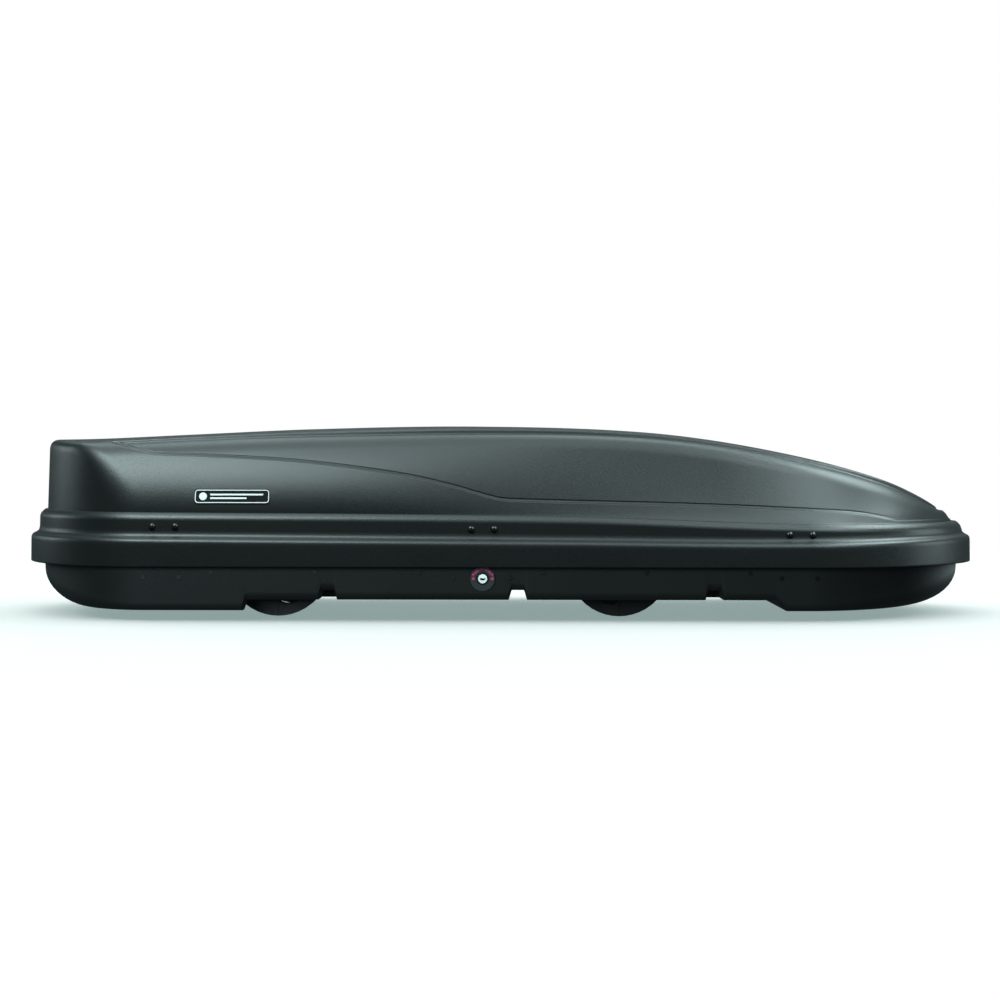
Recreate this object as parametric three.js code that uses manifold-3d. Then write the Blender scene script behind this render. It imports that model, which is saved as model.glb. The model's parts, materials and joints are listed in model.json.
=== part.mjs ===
// Roof cargo box for a car: a lower shell with four bar clamps, and a side-opening lid with a key lock.
// Millimetres. +X is the car's forward direction, +Y its left, +Z up. The origin is the middle of the
// box's footprint, at the lowest point of the clamp jaws. The lid hinges on the left side (+Y).
import * as THREE from "three";
import { mergeVertices } from "three/addons/utils/BufferGeometryUtils.js";
import Module from "manifold-3d";

const wasm = await Module();
wasm.setup();

// ---------------------------------------------------------------- driving dimensions
const NOSE_END = 975; // X of both ends of the lid's skirt, the longest part
const TAIL_END = -968;
const HALF_WIDTH = 370;
const NOSE_START = 600; // the plan tapers ahead of this X
const NOSE_POWER = 1.75; // of the superellipse that the nose's plan follows
const TAIL_START = -690; // the plan rounds off behind this X
const TAIL_POWER = 1.85;
const WALL = 4; // both shells' thickness

const SKIRT_BOTTOM = 104; // the lid's lower edge
const BODY_INSET = 34; // from the skirt to the foot of the lid's upper body
const BODY_DRAFT = 0.03; // lean of the lid's end walls
const SIDE_CLEAR = 16; // keeps the end walls' surface outside the leaning sides along the straight part
const CHEEK_HEIGHT = 160; // the lid's sides lean in by these falls over this height
const REAR_CHEEK = { fall: 85, power: 1.8 };
const FRONT_CHEEK = { fall: 62, power: 0.8, noseFall: 50 };
const SHOULDER = 28; // rounding between the sides and the roof
const CORNER = 20; // rounding between the end walls and the rest
const ROOF_CROWN = 10; // fall of the roof from its centre line to 250 mm out
const STEP = 3; // how far the flank lies below the surfaces behind and under the crease
const PANEL = { step: 3, share: 0.7, fade: 45 }; // the raised roof panel, and its share of the width

const WALL_INSET = 28; // the lower shell's wall
const FLOOR_END = 19; // underside height at both ends
const FLOOR_MIDDLE = 40; // underside height where the cross bars pass
const RECESS_FRONT = 543; // where the raised middle floor ends
const RECESS_REAR = -570; // inboard
const RECESS_REAR_EDGE = -490; // beside the side walls
const RIB_DEPTH = 19; // of the grooves across the underside
const RIB_HALF = 12; // half their width at the top
const RIBS = [
  { x: 415, reach: 228 }, // reach is how near the groove comes to the centre line
  { x: 35, reach: 0 },
  { x: -332, reach: 228 },
];

const STATIONS = { rear: -646, middle: -33, front: 579 }; // hinges, hooks and strikers
const HINGE = { y: 355, z: 112, knuckle: 4.5, pin: 2.3, half: 25 };

const BAR_X = { front: 210, rear: -413 }; // middles of the two cross-bar slots
const BAR_Y = 190; // left and right of the centre line
const SEAT = { z: 38, u: [-19, 27] }; // the pad that rests on a cross bar
const JAW = { inner: -42, outer: 96, pivotZ: 62, hole: 4.4, pin: 4, half: 18 };
const CRESCENT = { u: 27, r: 104 }; // the closed jaws' outer arc, which touches Z 0
const LEVER = 20; // from a jaw's pivot to its nose
const LEVER_TILT = THREE.MathUtils.degToRad(27.5);

const LOCK = { x: STATIONS.middle, z: 82, barrel: 8.8, shaft: 4, ring: 23.6 };
const CAM_ARM = 24; // from the barrel's axis to its drive pin
const BAR_TRAVEL = 34; // of the lock bar, for a quarter turn of the key
const STRIKER_Z = 128; // height of the pins that the hooks catch

const STRUTS = { rear: -610, front: 480 };
const STRUT_RADIUS = 150; // from the lid's hinge axis to both ends of a strut
const STRUT_LOW = THREE.MathUtils.degToRad(-13);
const STRUT_HIGH = THREE.MathUtils.degToRad(58);

// ---------------------------------------------------------------- materials
const material = (color, roughness, metalness = 0) =>
  new THREE.MeshStandardMaterial({ color, roughness, metalness });
const LID_GREY = material(0x3c4646, 0.45);
const BASE_BLACK = material(0x1a1d1e, 0.6);
const CLAMP_BLACK = material(0x16181a, 0.55);
const KNOB_GREY = material(0x2c3032, 0.5);
const STEEL = material(0xb4b8ba, 0.35, 0.9);
const ZINC = material(0x9a9ea0, 0.45, 0.8);
const RING_GREY = material(0x3a464a, 0.5);
const BADGE_BLACK = material(0x0c0d0e, 0.3);

// ---------------------------------------------------------------- solids
const box = new THREE.Group();

function toSolid(geometry) {
  const bare = geometry.index ? geometry.toNonIndexed() : geometry.clone();
  const positions = new THREE.BufferGeometry().setAttribute("position", bare.getAttribute("position"));
  const merged = mergeVertices(positions, 1e-4);
  const triVerts = [];
  for (let i = 0; i < merged.index.count; i += 3) {
    const [a, b, c] = [0, 1, 2].map((k) => merged.index.getX(i + k));
    if (a !== b && b !== c && c !== a) triVerts.push(a, b, c);
  }
  const mesh = new wasm.Mesh({
    numProp: 3,
    vertProperties: merged.attributes.position.array,
    triVerts: new Uint32Array(triVerts),
  });
  return new wasm.Manifold(mesh);
}

function toGeometry(solid) {
  const mesh = solid.getMesh();
  return new THREE.BufferGeometry()
    .setAttribute("position", new THREE.BufferAttribute(mesh.vertProperties, 3))
    .setIndex(new THREE.BufferAttribute(mesh.triVerts, 1));
}

// The first geometry, with the others added, and then the geometries in cuts taken away.
function combine(parts, cuts = []) {
  const joined = parts.map(toSolid).reduce((a, b) => a.add(b));
  return toGeometry(cuts.map(toSolid).reduce((a, b) => a.subtract(b), joined));
}

function addPart(name, geometry, finish, parent = box) {
  const mesh = new THREE.Mesh(geometry, finish);
  mesh.name = name;
  parent.add(mesh);
  return mesh;
}

function block(x, y, z) {
  const size = [x, y, z].map(([low, high]) => high - low);
  const middle = [x, y, z].map(([low, high]) => (low + high) / 2);
  return new THREE.BoxGeometry(...size).translate(...middle);
}

// A round bar of radius r along an axis, from low to high, at the other two coordinates.
function rod(axis, r, low, high, at, segments = 16) {
  const g = new THREE.CylinderGeometry(r, r, high - low, segments);
  const middle = (low + high) / 2;
  if (axis === "x") return g.rotateZ(Math.PI / 2).translate(middle, at[0], at[1]);
  if (axis === "y") return g.translate(at[0], middle, at[1]);
  return g.rotateX(Math.PI / 2).translate(at[0], at[1], middle);
}

// A flat outline, drawn in (X, Z), as a plate from one Y to another.
function plateXZ(shape, low, high, curveSegments = 4) {
  const g = new THREE.ExtrudeGeometry(shape, { depth: high - low, bevelEnabled: false, curveSegments });
  return g.rotateX(Math.PI / 2).translate(0, high, 0);
}

// A flat outline, drawn in (Y, Z), as a plate from one X to another.
function plateYZ(points, low, high) {
  const shape = new THREE.Shape(points.map(([y, z]) => new THREE.Vector2(y, z)));
  const g = new THREE.ExtrudeGeometry(shape, { depth: high - low, bevelEnabled: false });
  return g.rotateX(Math.PI / 2).rotateZ(Math.PI / 2).translate(low, 0, 0);
}

// ---------------------------------------------------------------- the box's outlines
// A smooth curve through knots [x, value].
function curveThrough(knots) {
  const slope = knots.map((_, i) => {
    const [a, b] = [knots[Math.max(i - 1, 0)], knots[Math.min(i + 1, knots.length - 1)]];
    return (b[1] - a[1]) / (b[0] - a[0]);
  });
  return (x) => {
    if (x <= knots[0][0]) return knots[0][1];
    const i = knots.findIndex((knot) => knot[0] >= x);
    if (i < 0) return knots[knots.length - 1][1];
    const [[x0, y0], [x1, y1]] = [knots[i - 1], knots[i]];
    const width = x1 - x0;
    const t = (x - x0) / width;
    const lean = (1 - t) * slope[i - 1] - t * slope[i];
    const bulge = (y1 - y0) / width;
    return y0 + (y1 - y0) * t + t * (1 - t) * width * (lean - bulge * (1 - 2 * t));
  };
}

const roofLine = curveThrough([
  [-941, 350.5], [-820, 353], [-640, 361.5], [-380, 373.5], [-50, 379.5], [290, 368.5],
  [530, 336], [760, 279], [904, 212], [941, 189],
]);
const lowerLedge = curveThrough([[-960, 162], [-770, 161], [135, 155], [560, 152], [960, 160]]);
const upperLedge = curveThrough([[-945, 209], [-770, 209], [135, 202], [560, 188], [940, 186]]);
// The long crease down the lid's side: what is behind and below it stands proud.
const creaseLine = curveThrough([
  [-790, 352], [-745, 338], [-700, 326], [-664, 320], [-585, 317.5], [-389, 306], [-194, 281], [-97, 260],
  [-39, 243.5], [-3, 234], [20, 231.5], [193, 227], [387, 222], [601, 213], [704, 206], [780, 192],
]);

// Stations round half of the box, from the nose to the tail along the right side.
function halfStations(sideX, noseSteps, tailSteps) {
  const nose = Array.from({ length: noseSteps }, (_, i) => ({ turn: (i / noseSteps) * 90 }));
  const side = sideX.map((x) => ({ x }));
  const tail = Array.from({ length: tailSteps }, (_, i) => ({ turn: 90 + ((i + 1) / tailSteps) * 90 }));
  return [...nose, { turn: 87 }, ...side, { turn: 93 }, ...tail];
}

// The plan's point at a station, inset from the skirt. Y is negative, on the right side.
function outline(station, inset) {
  const width = HALF_WIDTH - inset;
  if (station.x !== undefined) return new THREE.Vector2(station.x, -width);
  const turn = THREE.MathUtils.degToRad(station.turn);
  const [along, across] = [Math.abs(Math.cos(turn)), Math.sin(turn)];
  const nose = station.turn < 90;
  const power = 2 / (nose ? NOSE_POWER : TAIL_POWER);
  const reach = (nose ? NOSE_END - NOSE_START : TAIL_START - TAIL_END) - inset;
  const start = nose ? NOSE_START : TAIL_START;
  const x = start + (nose ? 1 : -1) * reach * along ** power;
  return new THREE.Vector2(x, -width * Math.max(across, 0) ** power);
}

// Where the shell's sections at a station start from, on the centre line.
function spine(station) {
  const x = station.x ?? (station.turn < 90 ? NOSE_START : TAIL_START);
  return new THREE.Vector2(x, 0);
}

// Joins the sections of half a shell, and their mirror image, into one closed shell.
function shellGeometry(half) {
  const mirrored = half.slice(1, -1).reverse().map((section) => {
    return section.map((p) => new THREE.Vector3(p.x, -p.y, p.z));
  });
  const sections = [...half, ...mirrored];
  const positions = [];
  sections.forEach((here, i) => {
    const next = sections[(i + 1) % sections.length];
    for (let k = 0; k + 1 < here.length; k++) {
      const [a, b, c, d] = [here[k], here[k + 1], next[k + 1], next[k]];
      for (const p of [a, b, c, a, c, d]) positions.push(p.x, p.y, p.z);
    }
  });
  return new THREE.BufferGeometry().setAttribute(
    "position",
    new THREE.BufferAttribute(new Float32Array(positions), 3),
  );
}

// ---------------------------------------------------------------- lid
function smoothMax(a, b, rounding) {
  const near = Math.max(rounding - Math.abs(a - b), 0) / rounding;
  return Math.max(a, b) + (near * near * rounding) / 4;
}

const smooth = (t) => THREE.MathUtils.smoothstep(t, 0, 1);

// Half the width of the upper body's foot at x. Behind the tail's start it stays full, so that the
// leaning side meets the rounded tail in a slanting edge.
function footHalfWidth(x) {
  const width = HALF_WIDTH - BODY_INSET;
  const reach = NOSE_END - NOSE_START - BODY_INSET;
  const share = THREE.MathUtils.clamp((x - NOSE_START) / reach, 0, 1);
  return width * (1 - share ** NOSE_POWER) ** (1 / NOSE_POWER);
}

function cheekHalfWidth(x, z) {
  const rise = Math.max(z - upperLedge(x), 0) / CHEEK_HEIGHT;
  const rear = REAR_CHEEK.fall * rise ** REAR_CHEEK.power;
  const nose = smooth((x - 430) / 480);
  const front = (FRONT_CHEEK.fall + FRONT_CHEEK.noseFall * nose) * rise ** FRONT_CHEEK.power;
  return footHalfWidth(x) - THREE.MathUtils.lerp(rear, front, smooth((x + 350) / 800));
}

// Half the width of the raised roof panel at x.
function panelHalfWidth(x) {
  const reach = THREE.MathUtils.clamp((x - 560) / 345, 0, 1);
  return PANEL.share * (HALF_WIDTH - BODY_INSET) * (1 - reach ** 2.1) ** (1 / 2.1);
}

// How far the flank between the crease and the roof panel lies below the surfaces round it.
function flankDepth(p) {
  const overCrease = smooth((p.z - creaseLine(p.x) + 3) / 6) * smooth((p.x + 800) / 25);
  const before = 1 - smooth((p.x - 700) / 90);
  const out = Math.abs(p.y) - panelHalfWidth(p.x);
  const besidePanel = Math.exp(-((Math.max(out, 0) / PANEL.fade) ** 2));
  const depth = STEP * overCrease * before + (STEP * (1 - before) + PANEL.step) * besidePanel;
  return smooth((out + 3) / 6) * overCrease * depth;
}

// A dense section of the upper body at a station, from the ledge to the centre line, set in by offset.
function upperCurve(station, offset) {
  const foot = outline(station, BODY_INSET);
  const centre = spine(station);
  const reach = foot.distanceTo(centre);
  const direction = foot.clone().sub(centre).divideScalar(reach);
  const across = station.x === undefined ? Math.abs(foot.y) / (HALF_WIDTH - BODY_INSET) : 1;
  const full = reach + SIDE_CLEAR * across ** 40;
  const z0 = upperLedge(foot.x);
  const place = (r, h) => new THREE.Vector3(centre.x + direction.x * r, direction.y * r, z0 + h);
  const outside = (r, h) => {
    const p = place(r, h);
    const side = 0.87 * (Math.abs(p.y) - cheekHalfWidth(p.x, p.z));
    const roof = p.z - (roofLine(p.x) - ROOF_CROWN * (p.y / 250) ** 2);
    const end = r - (full - BODY_DRAFT * h);
    return smoothMax(end, smoothMax(side, roof, SHOULDER), CORNER) + offset + flankDepth(p);
  };
  const steps = 160;
  return Array.from({ length: steps + 1 }, (_, i) => {
    const angle = (i / steps) * (Math.PI / 2);
    const [c, s] = i === steps ? [0, 1] : [Math.cos(angle), Math.sin(angle)];
    let [low, high] = [0, 700];
    for (let n = 0; n < 34; n++) {
      const middle = (low + high) / 2;
      if (outside(middle * c, middle * s) < 0) low = middle;
      else high = middle;
    }
    return place(low * c, low * s);
  });
}

// Rows of points up the section: counts of them below the crease, between it and the panel, and above.
function upperSection(station, offset, counts) {
  const points = upperCurve(station, offset);
  const lengths = [0];
  for (let i = 1; i < points.length; i++) lengths.push(lengths[i - 1] + points[i].distanceTo(points[i - 1]));
  const total = lengths[lengths.length - 1];
  const lengthWhere = (test, otherwise) => lengths[points.findIndex(test)] ?? otherwise;
  const panel = lengthWhere((p) => Math.abs(p.y) <= panelHalfWidth(p.x), total);
  const top = THREE.MathUtils.clamp(panel, 0.45 * total, 0.85 * total);
  const crease = lengthWhere((p) => p.z >= creaseLine(p.x), top);
  const bend = THREE.MathUtils.clamp(crease, 12, top - 12);
  const stretches = [[0, bend - 3.5], [bend + 3.5, top - 3.5], [top + 3.5, total]];
  const at = stretches.flatMap(([from, to], k) => {
    return Array.from({ length: counts[k] }, (_, n) => THREE.MathUtils.lerp(from, to, n / (counts[k] - 1)));
  });
  return at.map((target) => {
    const i = Math.max(1, lengths.findIndex((length) => length >= target - 1e-9));
    const share = (target - lengths[i - 1]) / (lengths[i] - lengths[i - 1]);
    return points[i - 1].clone().lerp(points[i], share);
  });
}

// How far out the lid's side reaches at x and z, on its outside or, with an offset, its inside.
function lidSideY(x, z, offset) {
  const section = upperCurve({ x }, offset);
  const i = section.findIndex((p) => p.z >= z);
  const share = (z - section[i - 1].z) / (section[i].z - section[i - 1].z);
  return Math.abs(section[i - 1].clone().lerp(section[i], share).y);
}

// The skirt and the band above it: [inset, which ledge the height counts from, height].
const LID_OUTSIDE = [
  [0, "edge", 0], [0.5, "lower", -11], [3, "lower", -4], [11, "lower", 1], [17.6, "lower", 4],
  [19.6, "upper", -9], [24.5, "upper", -3], [31, "upper", 0],
];
const LID_INSIDE = [
  [4, "edge", 0], [5, "lower", -12], [9, "lower", -5], [18, "lower", -2], [24, "lower", 2],
  [27, "upper", -8], [36, "upper", -4],
];

function bandSection(station, rows) {
  return rows.map(([inset, from, height]) => {
    const p = outline(station, inset);
    const level = { edge: () => SKIRT_BOTTOM, lower: lowerLedge, upper: upperLedge }[from](p.x);
    return new THREE.Vector3(p.x, p.y, level + height);
  });
}

function lidShell() {
  const gaps = 20;
  const step = (TAIL_START - NOSE_START) / gaps;
  const sideX = Array.from({ length: gaps + 1 }, (_, i) => NOSE_START + i * step);
  const half = halfStations(sideX, 10, 8).map((station) => {
    const outside = [...bandSection(station, LID_OUTSIDE), ...upperSection(station, 0, [5, 4, 5])];
    const inside = [...bandSection(station, LID_INSIDE), ...upperSection(station, WALL, [4, 4, 4])];
    return [...inside.reverse(), ...outside];
  });
  return shellGeometry(half);
}

// ---------------------------------------------------------------- lower shell
// Height of the underside at (x, y). The inside follows it, with its slopes moved out by a wall's width.
function underside(x, y, spread) {
  const rise = (from, to, at) => THREE.MathUtils.clamp((at - from) / (to - from), 0, 1);
  const rear = Math.abs(y) > 300 ? RECESS_REAR_EDGE : RECESS_REAR;
  const inRecess = rise(rear - 6 - spread, rear - spread, x);
  const beforeFront = rise(RECESS_FRONT + 11 + spread, RECESS_FRONT - 11 + spread, x);
  const recess = Math.min(inRecess, beforeFront);
  const ribs = RIBS.map((rib) => {
    const across = rise(RIB_HALF + 5.5 + spread, RIB_HALF + spread, Math.abs(x - rib.x));
    return rib.reach === 0 || Math.abs(y) > rib.reach + 16 ? across : 0;
  });
  return FLOOR_END + (FLOOR_MIDDLE - FLOOR_END) * recess + RIB_DEPTH * Math.max(...ribs);
}

const FLOOR_SHARES = [0.93, 0.88, 0.72, 0.66, 0.35, 0]; // of the way out from the centre line

// The lower part of a section, from the wall at z 97 to the centre line.
function bowlSection(station, thickness) {
  const wall = outline(station, WALL_INSET + 1 + thickness);
  const centre = spine(station);
  const reach = wall.distanceTo(centre);
  const direction = wall.clone().sub(centre).divideScalar(reach);
  const endness = station.x !== undefined ? 0 : Math.cos(THREE.MathUtils.degToRad(station.turn)) ** 2;
  const roundOut = THREE.MathUtils.lerp(16, 105, endness) - thickness;
  const roundUp = THREE.MathUtils.lerp(16, 74, endness) - thickness;
  const spread = thickness ? 5.5 : 0;
  const point = (r, lift) => {
    const [x, y] = [centre.x + direction.x * r, direction.y * r];
    return new THREE.Vector3(x, y, underside(x, y, spread) + thickness + lift);
  };
  const corner = [90, 60, 30, 0].map((degrees) => {
    const a = THREE.MathUtils.degToRad(degrees);
    return point(reach - roundOut * (1 - Math.sin(a)), roundUp * (1 - Math.cos(a)));
  });
  const floor = FLOOR_SHARES.map((share) => point((reach - roundOut) * share, 0));
  return [...corner, ...floor];
}

// The rim: [inset, height], from the wall outside, over the lip, to the wall inside.
const RIM = [
  [28, -50], [28, -14], [14, -13], [14, -17], [11, -17], [11, -9], [32, -9], [32, -50],
];

function lowerShell() {
  const ribEdges = [RIB_HALF, RIB_HALF + 5.5, RIB_HALF + 11];
  const ribX = RIBS.flatMap(({ x }) => ribEdges.flatMap((d) => [x - d, x + d]));
  const recessX = [559.5, 554, 537.5, 532, -484, -490, -496, -501.5, -570, -576, -581.5];
  const fillX = [NOSE_START, 480, 300, 210, 120, -120, -230, -440, -620, TAIL_START];
  const sideX = [...ribX, ...recessX, ...fillX].sort((a, b) => b - a);
  const half = halfStations(sideX, 9, 8).map((station) => {
    const rim = RIM.map(([inset, height]) => {
      const p = outline(station, inset);
      return new THREE.Vector3(p.x, p.y, lowerLedge(p.x) + height);
    });
    return [...bowlSection(station, 0).reverse(), ...rim, ...bowlSection(station, WALL)];
  });
  const clampHoles = clampPlaces().map(({ x, y, flip }) => {
    const [near, far] = flip > 0 ? [x - 77, x + 133] : [x - 133, x + 77];
    return block([near, far], [y - 26, y + 26], [30, 60]);
  });
  const lockHole = rod("y", 12.4, -350, -330, [LOCK.x, LOCK.z], 24);
  return combine([shellGeometry(half)], [...clampHoles, lockHole]);
}

// ---------------------------------------------------------------- bar clamps
function clampPlaces() {
  return ["front", "rear"].flatMap((end) =>
    [["left", BAR_Y], ["right", -BAR_Y]].map(([side, y]) => ({
      name: `${end}_${side}`,
      x: BAR_X[end],
      y,
      flip: end === "front" ? 1 : -1,
    })),
  );
}

// The side view of a jaw at u = side * distance from its own pivot, which both jaws share above the floor.
function jawTop(shape, pivot, toward) {
  const nose = [pivot + toward * LEVER * Math.cos(LEVER_TILT), JAW.pivotZ + LEVER * Math.sin(LEVER_TILT)];
  const arc = (centre, r, from, to, steps) => {
    for (let i = 0; i <= steps; i++) {
      const a = THREE.MathUtils.degToRad(from + ((to - from) * i) / steps);
      shape.lineTo(centre[0] + toward * r * Math.cos(a), centre[1] + r * Math.sin(a));
    }
  };
  arc([pivot, JAW.pivotZ], 9, 180, 118, 3);
  arc(nose, 4, 118, -62, 6);
  arc([pivot, JAW.pivotZ], 9, -20, -32, 1);
}

// The lower edge that the two closed jaws share, from one u to another.
function crescentArc(shape, from, to) {
  for (let i = 0; i <= 6; i++) {
    const u = from + ((to - from) * i) / 6;
    shape.lineTo(u, CRESCENT.r - Math.sqrt(CRESCENT.r ** 2 - (u - CRESCENT.u) ** 2));
  }
}

function innerJaw() {
  const shape = new THREE.Shape();
  const tip = CRESCENT.u - 0.3;
  shape.moveTo(tip, 30);
  crescentArc(shape, tip, -53);
  jawTop(shape, JAW.inner, 1);
  shape.lineTo(-31, 44);
  shape.lineTo(-29.5, 39.5);
  shape.quadraticCurveTo(-12, 27, 8, 24);
  shape.quadraticCurveTo(20, 23, tip, 30);
  return shape;
}

function outerJaw() {
  const shape = new THREE.Shape();
  const tip = CRESCENT.u + 0.3;
  shape.moveTo(tip, 30);
  crescentArc(shape, tip, 107);
  jawTop(shape, JAW.outer, -1);
  shape.lineTo(85, 44);
  shape.lineTo(81, 39.3);
  shape.lineTo(32, 39.3);
  shape.quadraticCurveTo(29, 36, tip, 30);
  return shape;
}

function jawGeometry(shape, pivot) {
  const hole = rod("y", JAW.hole, -30, 30, [pivot, JAW.pivotZ]);
  return combine([plateXZ(shape, -JAW.half, JAW.half)], [hole]);
}

function clampBody() {
  const tub = block([-75, 131], [-24, 24], [FLOOR_MIDDLE, 70]);
  const pad = block(SEAT.u, [-24, 24], [SEAT.z, FLOOR_MIDDLE + 1]);
  const flange = block([-84, 140], [-34, 34], [47.3, 50]);
  const pins = [JAW.inner, JAW.outer].map((u) => rod("y", JAW.pin, -22, 22, [u, JAW.pivotZ]));
  const hollow = block([-72, 128], [-21, 21], [FLOOR_MIDDLE + 2, 71]);
  const slots = [[-72, -27.5], [79, 128]].map((u) => {
    return block(u, [-19, 19], [FLOOR_MIDDLE - 1, FLOOR_MIDDLE + 3]);
  });
  return combine([combine([tub, pad, flange], [hollow]), ...pins], slots);
}

function clampCover() {
  const outside = block([-80, 136], [-30, 30], [50.4, 80]);
  const inside = block([-77, 133], [-27, 27], [49, 77]);
  return combine([outside], [inside, rod("z", 5.5, 70, 90, [CRESCENT.u, 0])]);
}

function clampKnob() {
  const shape = new THREE.Shape();
  const lobes = 5;
  for (let i = 0; i < lobes * 6; i++) {
    const a = (i / (lobes * 6)) * 2 * Math.PI;
    const r = 26 + 4 * Math.cos(lobes * a);
    shape[i ? "lineTo" : "moveTo"](r * Math.cos(a), r * Math.sin(a));
  }
  const grip = new THREE.ExtrudeGeometry(shape, { depth: 19, bevelEnabled: false });
  grip.translate(CRESCENT.u, 0, 83);
  const boss = rod("z", 12, 80.6, 84, [CRESCENT.u, 0]);
  return combine([grip, boss, rod("z", 4, 43, 90, [CRESCENT.u, 0])]);
}

function clampYoke() {
  return combine([block([-23.8, 77.8], [-8, 8], [60.8, 66.2])], [rod("z", 4.4, 50, 80, [CRESCENT.u, 0])]);
}

function addClamps() {
  for (const { name, x, y, flip } of clampPlaces()) {
    const unit = new THREE.Group();
    unit.position.set(x, y, 0);
    unit.rotation.z = flip > 0 ? 0 : Math.PI;
    box.add(unit);
    addPart(`clamp_body_${name}`, clampBody(), CLAMP_BLACK, unit);
    addPart(`clamp_cover_${name}`, clampCover(), CLAMP_BLACK, unit);
    addPart(`clamp_knob_${name}`, clampKnob(), KNOB_GREY, unit);
    addPart(`clamp_yoke_${name}`, clampYoke(), STEEL, unit);
    addPart(`jaw_inner_${name}`, jawGeometry(innerJaw(), JAW.inner), CLAMP_BLACK, unit);
    addPart(`jaw_outer_${name}`, jawGeometry(outerJaw(), JAW.outer), CLAMP_BLACK, unit);
  }
}

// A steel rail under each pair of clamps, stepped over the middle rib.
function rail(y) {
  const [low, high] = [FLOOR_MIDDLE + WALL + 0.4, FLOOR_MIDDLE + WALL + 2.9];
  const lift = RIB_DEPTH;
  const path = [[-566, 0], [8, 0], [13, lift], [57, lift], [62, 0], [355, 0]];
  const under = path.map(([x, up]) => new THREE.Vector2(x, low + up));
  const over = path.map(([x, up]) => new THREE.Vector2(x, high + up)).reverse();
  const strip = plateXZ(new THREE.Shape([...under, ...over]), y - 35, y + 35);
  const windows = clampPlaces().filter((place) => place.y === y).map(({ x, flip }) => {
    return block(flip > 0 ? [x - 77, x + 133] : [x - 133, x + 77], [y - 26, y + 26], [30, 60]);
  });
  return combine([strip], windows);
}

// ---------------------------------------------------------------- hinges
const insetY = (inset) => HALF_WIDTH - inset;

function hingeLeaf(x) {
  const plate = block([x - HINGE.half, x + HINGE.half], [insetY(27.4), insetY(25)], [102, 134]);
  const arm = block([x - 14, x + 14], [insetY(26), HINGE.y], [109.5, 114.5]);
  const knuckle = rod("x", HINGE.knuckle, x - 14, x + 14, [HINGE.y, HINGE.z]);
  return combine([plate, arm, knuckle], [rod("x", HINGE.pin + 0.3, x - 40, x + 40, [HINGE.y, HINGE.z])]);
}

function hingeStrap(x) {
  const ledge = lowerLedge(x);
  const outer = [
    [7, 108.5 - ledge], [5.4, 110 - ledge], [5.4, -12.4], [9.8, -5.7], [24.5, -5.7], [28, -1], [28.4, 22],
  ];
  const inner = [
    [30.2, 22], [29.8, -2], [25.6, -7.5], [10.6, -7.5], [7.2, -12.7], [7.2, 115.5 - ledge],
    [7.2, 108.5 - ledge],
  ];
  const profile = [...outer, ...inner].map(([inset, up]) => [insetY(inset), ledge + up]);
  const strap = plateYZ(profile, x - HINGE.half, x + HINGE.half);
  const ends = [[x - HINGE.half, x - 14.6], [x + 14.6, x + HINGE.half]];
  const knuckles = ends.map((span) => rod("x", HINGE.knuckle, ...span, [HINGE.y, HINGE.z]));
  const arms = ends.map((span) => block(span, [HINGE.y, insetY(6.4)], [109.5, 114.5]));
  const hole = rod("x", HINGE.pin + 0.3, x - 40, x + 40, [HINGE.y, HINGE.z]);
  return combine([strap, ...knuckles, ...arms], [hole]);
}

function addHinges() {
  for (const [end, x] of Object.entries(STATIONS)) {
    addPart(`hinge_leaf_${end}`, hingeLeaf(x), ZINC);
    addPart(`hinge_strap_${end}`, hingeStrap(x), ZINC);
    const span = [x - HINGE.half - 1.5, x + HINGE.half + 1.5];
    addPart(`hinge_pin_${end}`, rod("x", HINGE.pin, ...span, [HINGE.y, HINGE.z]), STEEL);
  }
}

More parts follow.
